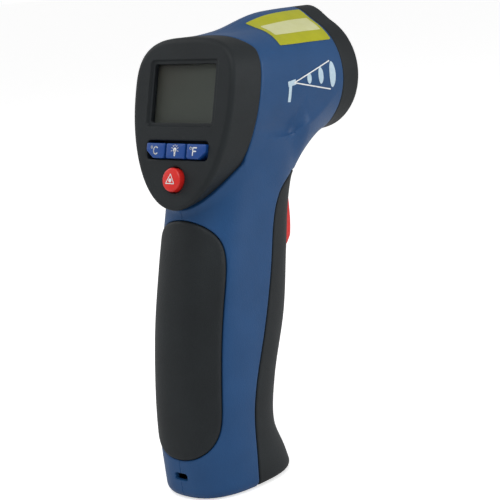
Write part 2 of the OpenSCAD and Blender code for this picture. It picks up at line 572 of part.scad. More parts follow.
// ---------- Nose ----------
module nose_ring() {
  r = nose_r - 0.4;
  color(black) difference() {
    union() {
      translate([ring_x, 0, axis_h]) rotate([0, 90, 0]) rotate_extrude() polygon(concat([[0, 0], [nose_r, 0]],
        [for (k = [0:4]) [r - 1.6 + 1.6 * cos(k * 22.5), ring_l - 1.6 + 1.6 * sin(k * 22.5)]], [[0, ring_l]]));
      translate([ring_x, 0, ridge_z]) rotate([0, 90, 0]) rotate_extrude() polygon(concat([[0, 0], [ridge_r, 0]],
        [for (k = [0:4]) [ridge_r - 1.9 + 1.6 * cos(k * 22.5), ring_l - 1.6 + 1.6 * sin(k * 22.5)]], [[0, ring_l]]));
      translate([ring_x - 3, 0, axis_h]) rotate([0, 90, 0]) cylinder(r = nose_r - wall - seat, h = 4);
    }
    translate([ring_x - 4, 0, axis_h]) rotate([0, 90, 0]) cylinder(r = nose_r - wall - seat - 1.6, h = ring_l + 4 - 2.2);
    translate([ring_x - 4, 0, axis_h]) rotate([0, 90, 0]) cylinder(r = mouth_r, h = 40);
    translate([ring_x - 4, 0, ridge_z - 0.5]) rotate([0, 90, 0]) cylinder(r = laser_r + 0.2, h = 4 + ring_l - 2.6);
    translate([ring_x - 4, 0, ridge_z - 0.5]) rotate([0, 90, 0]) cylinder(r = laser_r - 0.8, h = 40);
  }
}
// Cone from the mouth down to the lens, and the sleeve behind it that holds the sensor
module lens_tube() {
  m = mouth_r - seat;
  color(black) translate([front_x, 0, axis_h]) rotate([0, -90, 0]) rotate_extrude()
    polygon([[m - 0.8, 0.4], [m, 0.4], [m, 3], [lens_r + 2.6, cone_l - 2], [lens_r + 2.6, cone_l + 14], [4.8, cone_l + 14],
      [4.8, cone_l + 2], [lens_r + 0.1, cone_l + 1.5], [lens_r + 0.1, cone_l], [lens_r - 0.5, cone_l], [m - 1.4, 3]]);
}
module lens() {
  color([0.8, 0.8, 0.75, 0.6]) translate([lens_x, 0, axis_h]) rotate([0, -90, 0]) rotate_extrude()
    polygon([[0, 0.1], [lens_r, 0.1], [lens_r, 1.3], [0, 1.3]]);
}
module sensor_can() {
  color("silver") translate([sensor_x, 0, axis_h]) rotate([0, -90, 0]) rotate_extrude()
    polygon([[0, 0], [4.1, 0], [4.1, 3.2], [4.6, 3.2], [4.6, 4.4], [0, 4.4]]);
}
module sensor_board() {
  color("darkgreen") translate([front_x - cone_l - 14.2 - 1.6, 0, axis_h]) rotate([0, 90, 0]) cylinder(r = 10, h = 1.5);
}
module laser_module() {
  color([0.72, 0.6, 0.3]) translate([laser_x - 9, 0, ridge_z - 0.5]) rotate([0, 90, 0]) difference() {
    cylinder(r = laser_r, h = 12);
    translate([0, 0, 10.5]) cylinder(r = 1.2, h = 3);
  }
}
module laser_window() {
  color([0.8, 0.85, 0.85, 0.5]) translate([front_x - 3.6, 0, ridge_z - 0.5]) rotate([0, 90, 0]) cylinder(r = laser_r, h = 0.9);
}

right_shell();
left_shell();
display_bezel();
display_window();
lcd_panel();
lcd_backlight();
contact_strip();
main_board();
controller_chip();
keypad_mat();
celsius_key();
backlight_key();
fahrenheit_key();
laser_key();
rear_grip_pad();
battery_door();
door_pin();
trigger();
trigger_pin();
trigger_spring();
trigger_switch();
battery();
battery_snap();
battery_tray();
nose_ring();
lens_tube();
lens();
sensor_can();
sensor_board();
laser_module();
laser_window();
buzzer();
housing_screws();
board_screws();
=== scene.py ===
import math

import bpy
import numpy as np
from mathutils import Matrix, Vector


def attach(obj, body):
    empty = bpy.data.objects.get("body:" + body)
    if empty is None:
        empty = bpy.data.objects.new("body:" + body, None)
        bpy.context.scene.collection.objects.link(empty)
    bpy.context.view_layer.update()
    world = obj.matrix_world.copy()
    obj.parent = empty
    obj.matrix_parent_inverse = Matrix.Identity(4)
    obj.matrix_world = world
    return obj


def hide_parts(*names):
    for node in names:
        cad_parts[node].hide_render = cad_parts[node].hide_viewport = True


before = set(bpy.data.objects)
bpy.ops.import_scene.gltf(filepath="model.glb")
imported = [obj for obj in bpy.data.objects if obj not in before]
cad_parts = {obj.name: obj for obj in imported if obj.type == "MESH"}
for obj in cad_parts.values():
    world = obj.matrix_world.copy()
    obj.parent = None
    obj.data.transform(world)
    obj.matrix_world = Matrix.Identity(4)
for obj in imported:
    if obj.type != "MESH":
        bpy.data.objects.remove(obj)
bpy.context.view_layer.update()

# ---------- Sizes of the moulded form, in millimetres ----------
AXIS_H, BARREL_L, NOSE_R, BODY_W = 127.2, 66.2, 20.0, 42.4
GRIP_W, FOOT_L, WAIST_L, RAKE, HEEL_BACK = 34.0, 45.4, 37.4, 11.2, 16.1
FACE_TILT = math.radians(14.5)
FACE_TOP, FACE_DROP, SKIRT_L = 17.7, 36.7, 13.2
RING_L, RIDGE_R, RIDGE_UP = 9.6, 6.6, 2.6
PAD_Y, PAD_PROUD = 14.0, 0.5
HEEL_X = PAD_PROUD - (BARREL_L + HEEL_BACK + PAD_PROUD) / 2
FACE_X = HEEL_X + HEEL_BACK
FRONT_X = FACE_X + BARREL_L
RING_X = FRONT_X - RING_L
BODY_L = BARREL_L - RING_L
NECK_DROP, CROWN_UP = 38.7, 21.5
NECK_Z = AXIS_H - NECK_DROP
CROWN_Z = NECK_Z + CROWN_UP
RIDGE_Z = AXIS_H + NOSE_R + RIDGE_UP - RIDGE_R
DOOR_TOP = NECK_Z + 9.5
FACE_EDGE, FOOT_EDGE = 1.6, 3.0    # edge radii of the display face and nose, and of the foot
RIDGE_FILLET, NECK_FILLET = 4.0, 5.0
# Fillet added for the web under the barrel, where it starts and how far it takes to build up
WEB_FILLET, WEB_FROM, WEB_RUN = 9.0, 4.0, 9.0

# Grip: height, rear, front, half width, squareness of the section
GRIP = np.array([
    [0, HEEL_X + 0.03 * RAKE, HEEL_X + 0.3 + FOOT_L, GRIP_W / 2 - 1.5, 2.5],
    [0.085 * NECK_Z, HEEL_X, HEEL_X + FOOT_L - 2.7, GRIP_W / 2 - 1.3, 2.5],
    [0.215 * NECK_Z, HEEL_X + 0.01 * RAKE, HEEL_X + WAIST_L, GRIP_W / 2 - 0.8, 2.5],
    [0.379 * NECK_Z, HEEL_X + 0.09 * RAKE, HEEL_X + 0.09 * RAKE + WAIST_L + 0.8, GRIP_W / 2 - 0.2, 2.5],
    [0.605 * NECK_Z, HEEL_X + 0.28 * RAKE, HEEL_X + 0.28 * RAKE + WAIST_L + 6.1, GRIP_W / 2, 2.5],
    [0.831 * NECK_Z, HEEL_X + 0.66 * RAKE, HEEL_X + 0.66 * RAKE + WAIST_L + 5.9, GRIP_W / 2 - 0.4, 2.5],
    [NECK_Z, HEEL_X + RAKE, HEEL_X + RAKE + WAIST_L + 5.1, GRIP_W / 2 - 0.4, 2.4],
    [NECK_Z + 11.5, HEEL_X + 1.26 * RAKE, HEEL_X + 1.26 * RAKE + WAIST_L + 6.6, GRIP_W / 2 + 0.2, 2.3],
    [CROWN_Z, HEEL_X + 1.43 * RAKE, HEEL_X + 1.43 * RAKE + WAIST_L + 12.6, GRIP_W / 2 + 0.8, 2.2]])
# Body: distance ahead of the face, tilt of the section, half width, top and its squareness, bottom
BODY = np.array([
    [0, FACE_TILT, BODY_W / 2, FACE_TOP, 3.1, FACE_DROP],
    [SKIRT_L + 0.5, 0.9 * FACE_TILT, BODY_W / 2, FACE_TOP - 0.1, 2.9, FACE_DROP - 3.5],
    [0.55 * BODY_L, 0.4 * FACE_TILT, (BODY_W / 2 + NOSE_R) / 2, NOSE_R - 1.0, 2.3, NOSE_R + 5],
    [0.8 * BODY_L, 0.1 * FACE_TILT, 0.15 * BODY_W / 2 + 0.85 * NOSE_R, NOSE_R, 2.1, NOSE_R + 1],
    [BODY_L, 0, NOSE_R, NOSE_R, 2, NOSE_R],
    [BARREL_L, 0, NOSE_R - 0.4, NOSE_R - 0.4, 2, NOSE_R - 0.4]])
# Seam of the battery door: height, x of the seam
SEAM = np.array([
    [0, HEEL_X + 20.3], [0.1 * NECK_Z, HEEL_X + 20.2], [0.28 * NECK_Z, HEEL_X + 19.8],
    [0.4 * NECK_Z, HEEL_X + 21.8], [0.58 * NECK_Z, HEEL_X + 0.3 * RAKE + 24.1],
    [0.78 * NECK_Z, HEEL_X + 0.6 * RAKE + 26.4], [0.965 * NECK_Z, HEEL_X + 0.9 * RAKE + 26.8],
    [NECK_Z + 3.5, HEEL_X + RAKE + 28.8], [NECK_Z + 6.5, HEEL_X + RAKE + 32], [DOOR_TOP, HEEL_X + RAKE + 38]])
# Laser ridge: x, height of its middle line, radius
RIDGE = np.array([
    [FACE_X + 9, AXIS_H + 2.0, 6.0], [FACE_X + 18, AXIS_H + 8.3, 6.2], [FACE_X + 24.6, AXIS_H + 11.0, 6.4],
    [FACE_X + 30.5, AXIS_H + 13.4, 6.5], [FACE_X + 36.4, AXIS_H + 14.9, RIDGE_R],
    [FACE_X + 42.3, RIDGE_Z - 0.5, RIDGE_R],
    [FRONT_X, RIDGE_Z - 0.1, RIDGE_R - 0.1]])


def station(table, column, place):
    """Smooth curve through a table's rows, read at one column."""
    s = np.clip(place, table[0, 0], table[-1, 0])
    i = np.clip(np.searchsorted(table[:, 0], s, side="left") - 1, 0, len(table) - 2)
    slope = np.empty(len(table))
    slope[1:-1] = (table[2:, column] - table[:-2, column]) / (table[2:, 0] - table[:-2, 0])
    slope[0] = (table[1, column] - table[0, column]) / (table[1, 0] - table[0, 0])
    slope[-1] = (table[-1, column] - table[-2, column]) / (table[-1, 0] - table[-2, 0])
    h = table[i + 1, 0] - table[i, 0]
    u = (s - table[i, 0]) / h
    return ((2 * u**3 - 3 * u**2 + 1) * table[i, column] + (u**3 - 2 * u**2 + u) * h * slope[i]
            + (3 * u**2 - 2 * u**3) * table[i + 1, column] + (u**3 - u**2) * h * slope[i + 1])


def ease(u):
    k = np.clip(u, 0, 1)
    return k * k * (3 - 2 * k)


def oval(across, up, half, rise, power):
    """Distance out of a squared oval, near its edge."""
    a = np.abs(across) / half + 1e-9
    b = np.abs(up) / rise + 1e-9
    s = (a**power + b**power) ** (1 / power)
    steep = s ** (1 - power) * np.sqrt((a ** (power - 1) / half) ** 2 + (b ** (power - 1) / rise) ** 2)
    return (s - 1) / steep


def fillet(a, b, k):
    """Two forms joined, with a hollow fillet of about k."""
    h = np.maximum(k - np.abs(a - b), 0)
    return np.minimum(a, b) - h * h / (4 * k)


def edge(a, b, r):
    """What two forms share, with its edge rounded to r."""
    return np.minimum(np.maximum(a, b), -r) + np.hypot(np.maximum(a + r, 0), np.maximum(b + r, 0))


def body_place(p):
    """Depth behind the display face and height in the tilted section, for each point."""
    rise = p[:, 2] - AXIS_H
    d = p[:, 0] - FACE_X - rise * math.tan(FACE_TILT)
    for _ in range(12):
        d = 0.35 * d + 0.65 * (p[:, 0] - FACE_X - rise * np.tan(station(BODY, 1, d)))
    return d, rise / np.cos(station(BODY, 1, d))


def barrel_side(p):
    """The barrel without its ends, and the depth behind the display face."""
    d, v = body_place(p)
    up = v >= 0
    return oval(p[:, 1], v, station(BODY, 2, d), np.where(up, station(BODY, 3, d), station(BODY, 5, d)),
                np.where(up, station(BODY, 4, d), 2.0)), d


def ridge_side(p):
    return np.hypot(p[:, 1], p[:, 2] - station(RIDGE, 1, p[:, 0])) - station(RIDGE, 2, p[:, 0])


def cut_ends(form, d, p):
    return edge(edge(form, -d * math.cos(FACE_TILT), FACE_EDGE), p[:, 0] - FRONT_X, FACE_EDGE)


def barrel_form(p):
    side, d = barrel_side(p)
    return cut_ends(side, d, p)


def grip_form(p):
    rear, front = station(GRIP, 1, p[:, 2]), station(GRIP, 2, p[:, 2])
    side = oval(p[:, 0] - (front + rear) / 2, p[:, 1], (front - rear) / 2,
                station(GRIP, 3, p[:, 2]), station(GRIP, 4, p[:, 2]))
    return edge(np.maximum(side, p[:, 2] - CROWN_Z), -p[:, 2], FOOT_EDGE)


def housing_form(p):
    side, d = barrel_side(p)
    web = NECK_FILLET + WEB_FILLET * ease((p[:, 0] - WEB_FROM) / WEB_RUN)
    return cut_ends(fillet(fillet(side, ridge_side(p), RIDGE_FILLET), grip_form(p), web), d, p)


def slope_of(form, p, step=0.01):
    g = np.empty_like(p)
    for k in range(3):
        q = p.copy()
        q[:, k] += step
        w = p.copy()
        w[:, k] -= step
        g[:, k] = (form(q) - form(w)) / (2 * step)
    return g


def settle(form, p, rounds=3):
    """Moves points straight onto the form's surface."""
    for _ in range(rounds):
        g = slope_of(form, p)
        p = p - g * (form(p) / np.maximum((g * g).sum(1), 1e-6))[:, None]
    return p


def outward(form, p):
    g = slope_of(form, p)
    return g / np.maximum(np.linalg.norm(g, axis=1), 1e-9)[:, None]


# ---------- Meshes from a form ----------
def net(form, low, high, pitch):
    """Even mesh of a form's surface: one point a cell, settled on the surface."""
    grid = [np.arange(a, b + pitch, pitch) for a, b in zip(low, high)]
    P = np.stack(np.meshgrid(*grid, indexing="ij"), -1)
    F = form(P.reshape(-1, 3)).reshape(P.shape[:3])
    inside = F < 0
    cells = tuple(n - 1 for n in F.shape)

    def corner(a, c):
        return a[c[0]:c[0] + cells[0], c[1]:c[1] + cells[1], c[2]:c[2] + cells[2]]
    corners = [(i, j, k) for i in (0, 1) for j in (0, 1) for k in (0, 1)]
    count = sum(corner(inside, c).astype(int) for c in corners)
    busy = (count > 0) & (count < 8)
    number = -np.ones(cells, int)
    number[busy] = np.arange(busy.sum())
    total, hits = np.zeros((busy.sum(), 3)), np.zeros(busy.sum())
    for a in corners:
        for axis in range(3):
            if a[axis]:
                continue
            b = tuple(v + (i == axis) for i, v in enumerate(a))
            fa, fb = corner(F, a)[busy], corner(F, b)[busy]
            cross = (fa < 0) != (fb < 0)
            t = (fa / np.where(cross, fa - fb, 1))[cross]
            pa, pb = corner(P, a)[busy][cross], corner(P, b)[busy][cross]
            total[cross] += pa + t[:, None] * (pb - pa)
            hits[cross] += 1
    points = total / hits[:, None]
    quads = []
    for axis in range(3):
        o1, o2 = [(1, 2), (2, 0), (0, 1)][axis]
        lo = [slice(None)] * 3
        hi = [slice(None)] * 3
        lo[axis], hi[axis] = slice(0, -1), slice(1, None)
        for o in (o1, o2):
            lo[o] = hi[o] = slice(1, -1)
        a, b = inside[tuple(lo)], inside[tuple(hi)]

        def around(s1, s2):
            cut = [slice(None)] * 3
            for o, s in ((o1, s1), (o2, s2)):
                cut[o] = slice(1, None) if s else slice(0, -1)
            return number[tuple(cut)]
        ring = np.stack([around(0, 0), around(1, 0), around(1, 1), around(0, 1)], -1)
        quads += [ring[a & ~b], ring[~a & b][:, ::-1]]
    quads = np.concatenate(quads)
    points = settle(form, points, 4)
    tris = np.concatenate([quads[:, [0, 1, 2]], quads[:, [0, 2, 3]]])
    return points, tris


class Sheet:
    """A mesh on a form: points, triangles, and which points already lie on a scored line."""

    def __init__(self, form, points, tris):
        self.form, self.points, self.tris = form, points, tris
        self.fixed = np.zeros(len(points), bool)

    def copy(self):
        s = Sheet(self.form, self.points.copy(), self.tris.copy())
        s.fixed = self.fixed.copy()
        return s

    def score(self, rule, level=0.0, snap=0.12):
        """Lays a line of edges where rule equals level."""
        h = rule(self.points) - level
        near = (np.abs(h) < snap) & ~self.fixed
        if near.any():
            q = self.points[near]
            g = slope_of(rule, q)
            n = outward(self.form, q)
            g -= n * (g * n).sum(1)[:, None]
            q = q - g * (h[near] / np.maximum((g * g).sum(1), 0.05))[:, None]
            self.points[near] = settle(self.form, q, 1)
            h[near] = 0
        h[np.abs(h) < 1e-3] = 0
        s = np.sign(h).astype(int)
        t = self.tris
        mixed = (s[t].max(1) > 0) & (s[t].min(1) < 0)
        keep, cut = t[~mixed], t[mixed]
        if len(cut):
            pairs = np.concatenate([cut[:, [0, 1]], cut[:, [1, 2]], cut[:, [2, 0]]])
            pairs = pairs[s[pairs[:, 0]] * s[pairs[:, 1]] < 0]
            n = len(self.points)
            key = np.unique(pairs.min(1) * n + pairs.max(1))
            a, b = key // n, key % n
            t0, t1 = np.zeros(len(key)), np.ones(len(key))
            ha, hb = h[a].copy(), h[b].copy()
            pa, pb = self.points[a], self.points[b]
            for _ in range(3):
                m = t0 + (t1 - t0) * ha / (ha - hb)
                pm = settle(self.form, pa + m[:, None] * (pb - pa), 1)
                hm = rule(pm) - level
                low = np.sign(hm) == np.sign(ha)
                t0, ha = np.where(low, m, t0), np.where(low, hm, ha)
                t1, hb = np.where(low, t1, m), np.where(low, hb, hm)
                done = np.abs(ha - hb) < 1e-9
                hb = np.where(done, hb + 1e-9, hb)
            self.points = np.concatenate([self.points, pm])
            self.fixed = np.concatenate([self.fixed, np.ones(len(key), bool)])
            h = np.concatenate([h, np.zeros(len(key))])

            def new(p, q):
                return n + np.searchsorted(key, np.minimum(p, q) * n + np.maximum(p, q))
            sc = s[cut]
            zeros = (sc == 0).sum(1)
            one = cut[zeros == 1]
            so = sc[zeros == 1]
            k = np.argmax(so == 0, 1)
            r = np.arange(len(one))
            z, p, q = one[r, k], one[r, (k + 1) % 3], one[r, (k + 2) % 3]
            m = new(p, q)
            parts = [keep, np.stack([z, p, m], 1), np.stack([z, m, q], 1)]
            two = cut[zeros == 0]
            st = sc[zeros == 0]
            lone = np.argmax(st == -np.sign(st.sum(1))[:, None], 1)
            r = np.arange(len(two))
            l, p, q = two[r, lone], two[r, (lone + 1) % 3], two[r, (lone + 2) % 3]
            m1, m2 = new(l, p), new(l, q)
            parts += [np.stack([l, m1, m2], 1), np.stack([m1, p, q], 1), np.stack([m1, q, m2], 1)]
            self.tris = np.concatenate(parts)
        self.fixed |= h == 0
        return h

    def trim(self, rule, level=0.0, lines=()):
        """Keeps the side where rule is above level, with extra scored lines further in."""
        h = self.score(rule, level)
        self.tris = self.tris[h[self.tris].min(1) >= 0]
        self.tidy()
        for step in lines:
            self.score(rule, level + step, 0.3 * step)
        return self

    def tidy(self):
        used = np.unique(self.tris)
        number = -np.ones(len(self.points), int)
        number[used] = np.arange(len(used))
        self.points, self.fixed, self.tris = self.points[used], self.fixed[used], number[self.tris]
        a = self.points[self.tris]
        area = np.linalg.norm(np.cross(a[:, 1] - a[:, 0], a[:, 2] - a[:, 0]), axis=1)
        self.tris = self.tris[area > 1e-9]

# ---------- Finishes ----------
def linear(code):
    """Linear colour from an sRGB hex code."""
    out = []
    for k in (0, 2, 4):
        v = int(code[k:k + 2], 16) / 255
        out.append(v / 12.92 if v <= 0.04045 else ((v + 0.055) / 1.055) ** 2.4)
    return (*out, 1.0)


def add(tree, kind, settings=None, **links):
    """A node with its settings, and its inputs linked or set."""
    n = tree.nodes.new(kind)
    for k, v in (settings or {}).items():
        setattr(n, k, v)
    for k, v in links.items():
        socket = n.inputs[int(k[1:]) if k[0] == "_" else k.replace("_", " ")]
        if isinstance(v, bpy.types.NodeSocket):
            tree.links.new(v, socket)
        else:
            socket.default_value = v
    return n


def finish(name, **sockets):
    """A material with one Principled shader; its tree and shader come back with it."""
    mat = bpy.data.materials.new(name)
    mat.use_nodes = True
    tree = mat.node_tree
    shader = tree.nodes["Principled BSDF"]
    for k, v in sockets.items():
        shader.inputs[k.replace("_", " ")].default_value = v
    return mat, tree, shader


def ramp(tree, factor, stops):
    n = add(tree, "ShaderNodeValToRGB", None, Fac=factor)
    n.color_ramp.elements[0].position, n.color_ramp.elements[0].color = stops[0][0], linear(stops[0][1])
    n.color_ramp.elements[1].position, n.color_ramp.elements[1].color = stops[-1][0], linear(stops[-1][1])
    for place, code in stops[1:-1]:
        n.color_ramp.elements.new(place).color = linear(code)
    return n.outputs["Color"]


def moulded(name, dark, light, rough, grain_mm, grain_depth, mottle_mm=14.0, spread=0.05, **extra):
    """Moulded plastic: spark-eroded grain, a faint drift of colour, and roughness that follows the grain."""
    mat, tree, shader = finish(name, **extra)
    place = add(tree, "ShaderNodeTexCoord").outputs["Object"]
    drift = add(tree, "ShaderNodeTexNoise", None, Vector=place, Scale=1000 / mottle_mm, Detail=3.0,
                Roughness=0.5).outputs["Fac"]
    grain = add(tree, "ShaderNodeTexNoise", None, Vector=place, Scale=1000 / grain_mm, Detail=4.0,
                Roughness=0.62).outputs["Fac"]
    pits = add(tree, "ShaderNodeTexVoronoi", {"feature": "SMOOTH_F1"}, Vector=place,
               Scale=1000 / (grain_mm * 1.7), Smoothness=0.6).outputs["Distance"]
    tree.links.new(ramp(tree, drift, [(0.3, dark), (0.7, light)]), shader.inputs["Base Color"])
    mixed = add(tree, "ShaderNodeMath", {"operation": "MULTIPLY_ADD"}, _0=pits, _1=0.6, _2=grain).outputs[0]
    bump = add(tree, "ShaderNodeBump", None, Height=mixed, Strength=grain_depth, Distance=grain_mm * 0.0004)
    tree.links.new(bump.outputs["Normal"], shader.inputs["Normal"])
    gloss = add(tree, "ShaderNodeMapRange", None, Value=grain, From_Min=0.3, From_Max=0.7,
                To_Min=rough - spread, To_Max=rough + spread)
    tree.links.new(gloss.outputs["Result"], shader.inputs["Roughness"])
    return mat


# ABS, spark-textured tool: satin blue
# The grain is under 0.1 mm on the real one and is drawn at 0.35 mm, to show
moulded_blue = moulded("moulded_blue_abs", "1B4674", "204C7C", 0.42, 0.35, 0.25,
                       IOR=1.5, Specular_IOR_Level=0.3)
# Thermoplastic rubber over ABS, matt tool: charcoal with a wide soft sheen
soft_black = moulded("soft_touch_rubber", "151A1D", "1B2124", 0.58, 0.3, 0.3,
                     IOR=1.48, Specular_IOR_Level=0.35)
key_blue = moulded("moulded_key_blue", "12448F", "164A96", 0.36, 0.3, 0.12, 4.0, IOR=1.5)
signal_red = moulded("moulded_signal_red", "E02420", "E62B25", 0.34, 0.3, 0.12, 4.0, IOR=1.5)
inner_black = moulded("moulded_inner_black", "1B1C1D", "222324", 0.55, 0.4, 0.2, IOR=1.5)
white_plastic = moulded("diffuser_white", "DADCDC", "E4E5E4", 0.5, 0.4, 0.1, IOR=1.5)
silicone = moulded("keypad_silicone", "2C2D2F", "343537", 0.6, 0.4, 0.15, IOR=1.43)
solder_mask = moulded("solder_mask_green", "12452A", "1A5434", 0.3, 0.5, 0.15, 3.0, IOR=1.52)
chip_epoxy = moulded("moulded_epoxy", "1C1C1D", "252526", 0.5, 0.25, 0.3, IOR=1.55)
# Pad printing: an opaque ink film, slightly uneven
white_print = moulded("pad_print_white", "E6E9EA", "F1F3F3", 0.45, 0.25, 0.1, 1.5, IOR=1.5)
pale_print = moulded("pad_print_pale", "B9D2E2", "C6DCE9", 0.45, 0.25, 0.1, 1.5, IOR=1.5)
# Vinyl sticker: gloss film
sticker_yellow = moulded("sticker_vinyl_yellow", "A9AA08", "B4B40C", 0.35, 0.5, 0.08, 6.0, IOR=1.46)
sticker_cream = moulded("sticker_vinyl_cream", "CDCE92", "D6D7A4", 0.35, 0.5, 0.08, 6.0, IOR=1.46)
milky_lens = moulded("milky_infrared_film", "C9C9C2", "D6D6CF", 0.3, 0.5, 0.1, 3.0, IOR=1.5)


def metal(name, dark, light, rough, line_mm):
    """Metal with fine turning or rolling marks."""
    mat, tree, shader = finish(name, Metallic=1.0)
    place = add(tree, "ShaderNodeTexCoord").outputs["Object"]
    marks = add(tree, "ShaderNodeTexNoise", None, Vector=place, Scale=1000 / line_mm,
                Detail=3.0).outputs["Fac"]
    tree.links.new(ramp(tree, marks, [(0.3, dark), (0.7, light)]), shader.inputs["Base Color"])
    gloss = add(tree, "ShaderNodeMapRange", None, Value=marks, From_Min=0.3, From_Max=0.7,
                To_Min=rough - 0.08, To_Max=rough + 0.08)
    tree.links.new(gloss.outputs["Result"], shader.inputs["Roughness"])
    return mat


zinc_steel = metal("zinc_plated_steel", "A9ABAE", "C2C4C6", 0.32, 0.5)
turned_brass = metal("turned_brass", "A98445", "C4A05A", 0.3, 0.3)
battery_jacket = metal("printed_battery_jacket", "4A4C50", "5A5D62", 0.35, 6.0)


def lcd_finish():
    """Reflective LCD behind its polariser: grey-green, with painted shade that makes it browner and darker
    towards the upper left.
    """
    mat, tree, shader = finish("lcd_polariser", Roughness=0.32, IOR=1.5)
    place = add(tree, "ShaderNodeTexCoord").outputs["Object"]
    apart = add(tree, "ShaderNodeSeparateXYZ", None, Vector=place)
    # Painted shade: a ramp across and down the panel runs from dark brown at the upper left to lighter
    # grey-green at the lower right
    across = add(tree, "ShaderNodeMapRange", None, Value=apart.outputs["Y"], From_Min=0.014, From_Max=-0.014,
                 To_Min=0.0, To_Max=0.55).outputs["Result"]
    down = add(tree, "ShaderNodeMapRange", None, Value=apart.outputs["Z"], From_Min=0.138, From_Max=0.117,
               To_Min=0.0, To_Max=0.45).outputs["Result"]
    both = add(tree, "ShaderNodeMath", {"operation": "ADD"}, _0=across, _1=down).outputs[0]
    grain = add(tree, "ShaderNodeTexNoise", None, Vector=place, Scale=2500.0, Detail=2.0).outputs["Fac"]
    both = add(tree, "ShaderNodeMath", {"operation": "MULTIPLY_ADD"}, _0=grain, _1=0.06, _2=both).outputs[0]
    painted_shade_tint = ramp(tree, both, [(0.0, "4A473F"), (0.5, "555A52"), (1.0, "596059")])
    tree.links.new(painted_shade_tint, shader.inputs["Base Color"])
    return mat


def window_finish():
    """Clear acrylic pane: what is behind shows through, with a thin gloss over it."""
    mat, tree, shader = finish("clear_acrylic", Roughness=0.06, IOR=1.49, Alpha=0.16)
    place = add(tree, "ShaderNodeTexCoord").outputs["Object"]
    haze = add(tree, "ShaderNodeTexNoise", None, Vector=place, Scale=300.0).outputs["Fac"]
    tree.links.new(ramp(tree, haze, [(0.3, "15181A"), (0.7, "1B1F21")]), shader.inputs["Base Color"])
    return mat


lcd_glass, clear_acrylic = lcd_finish(), window_finish()


def moulding(sheet, rules, wall, proud=0.0, mirror=False):
    """Trims a sheet to a moulded wall. Each rule is (rule, gap, edge radius)."""
    for rule, gap, r in rules:
        sheet.trim(rule, gap, [r * k for k in (0.07, 0.3, 1.0)] if r > 0 else ())
    p, t = sheet.points, sheet.tris
    drop = np.zeros(len(p))
    for rule, gap, r in rules:
        if r > 0:
            h = np.clip(rule(p) - gap, 0, r)
            drop = np.maximum(drop, r - np.sqrt(np.maximum(r * r - (r - h) ** 2, 0)))
    n = outward(sheet.form, p)
    outer, inner = p + n * (proud - drop)[:, None], p - n * wall
    if mirror:
        flat = np.abs(p[:, 1]) < 1e-4
        outer[flat, 1] = inner[flat, 1] = 0
        inner, _ = mirrored_like(p, inner)
        outer, t = mirrored_like(p, outer, t)
    return close_wall(outer, inner, t)


def mirrored_like(rest, moved, tris=None):
    """Moved points of a half sheet and their mirror image, welded where the sheet met the middle plane."""
    middle = np.abs(rest[:, 1]) < 1e-4
    n = len(rest)
    twin = np.where(middle, np.arange(n), n + np.cumsum(~middle) - 1)
    both = np.concatenate([moved, moved[~middle] * [1, -1, 1]])
    return both, None if tris is None else np.concatenate([tris, twin[tris][:, ::-1]])


def close_wall(outer, inner, tris):
    """Outer and inner skins joined round every open edge."""
    n = len(outer)
    sides = np.concatenate([tris[:, [0, 1]], tris[:, [1, 2]], tris[:, [2, 0]]])
    key = sides.min(1) * n + sides.max(1)
    _, first, times = np.unique(key, return_index=True, return_counts=True)
    rim = sides[first[times == 1]]
    a, b = rim[:, 0], rim[:, 1]
    return (np.concatenate([outer, inner]),
            np.concatenate([tris, tris[:, ::-1] + n,
                            np.stack([b, a, a + n], 1), np.stack([b, a + n, b + n], 1)]))


MM = 0.001


def piece(name, points, faces, finish, body, slot=None, replaces=(), sharp=35):
    """A mesh piece in the frame, from millimetres."""
    mesh = bpy.data.meshes.new(name)
    mesh.from_pydata([tuple(q) for q in np.asarray(points, float) * MM], [],
                     [tuple(int(i) for i in f) for f in faces])
    mesh.validate()
    mesh.update()
    mesh.shade_smooth()
    mesh.set_sharp_from_angle(angle=math.radians(sharp))
    obj = bpy.data.objects.new(name, mesh)
    bpy.context.scene.collection.objects.link(obj)
    obj.data.materials.append(finish)
    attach(obj, body)
    if replaces:
        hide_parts(*replaces)
    return obj


# ---------- Where one moulding ends and the next begins ----------
TOP_SHORT, CHIN_SKIRT = 3.7, 6.5   # how much shorter the skirt is over the top, and its depth at the chin
NECK_SHOW = 0.9                    # how far the neck stands out of the barrel where it shows under the skirt


def skirt_rule(p):
    d, v = body_place(p)
    v = np.where(v > 0, v * FACE_TOP / station(BODY, 3, d), v * FACE_DROP / station(BODY, 5, d))
    over = TOP_SHORT * ease((v / FACE_TOP - 0.68) / 0.32)
    chin = (SKIRT_L - CHIN_SKIRT) * ease((-v / FACE_DROP - 0.7) / 0.3)
    return SKIRT_L - over - chin - d


def cup_rule(p):
    """The skirt, less the neck of the grip that comes out from under it."""
    return np.minimum(skirt_rule(p), NECK_SHOW - barrel_side(p)[0])


def ring_rule(p):
    return p[:, 0] - RING_X


def door_rule(p):
    seam = station(SEAM, 1, p[:, 2])
    slope = (station(SEAM, 1, p[:, 2] + 0.1) - station(SEAM, 1, p[:, 2] - 0.1)) / 0.2
    return np.minimum((p[:, 0] - seam) / np.hypot(1, slope), DOOR_TOP - p[:, 2])


PAD_LOW, PAD_HIGH = 0.149 * NECK_Z, NECK_Z - 0.3


def pad_rule(p):
    t = np.abs(p[:, 2] - (PAD_LOW + PAD_HIGH) / 2) / ((PAD_HIGH - PAD_LOW) / 2)
    q = (p[:, 1] / PAD_Y) ** 2 + t**8
    steep = np.hypot(2 * p[:, 1] / PAD_Y**2, 8 * t**7 / ((PAD_HIGH - PAD_LOW) / 2))
    h = (1 - q) / np.maximum(steep, 0.06)
    return np.where(p[:, 0] < station(GRIP, 1, p[:, 2]) + 14, h, -30.0)


def rounded_box(u, v, w, h, r):
    """Distance in from the outline of a rounded rectangle."""
    a, b = np.abs(u) - w / 2 + r, np.abs(v) - h / 2 + r
    return r - np.hypot(np.maximum(a, 0), np.maximum(b, 0)) - np.minimum(np.maximum(a, b), 0)


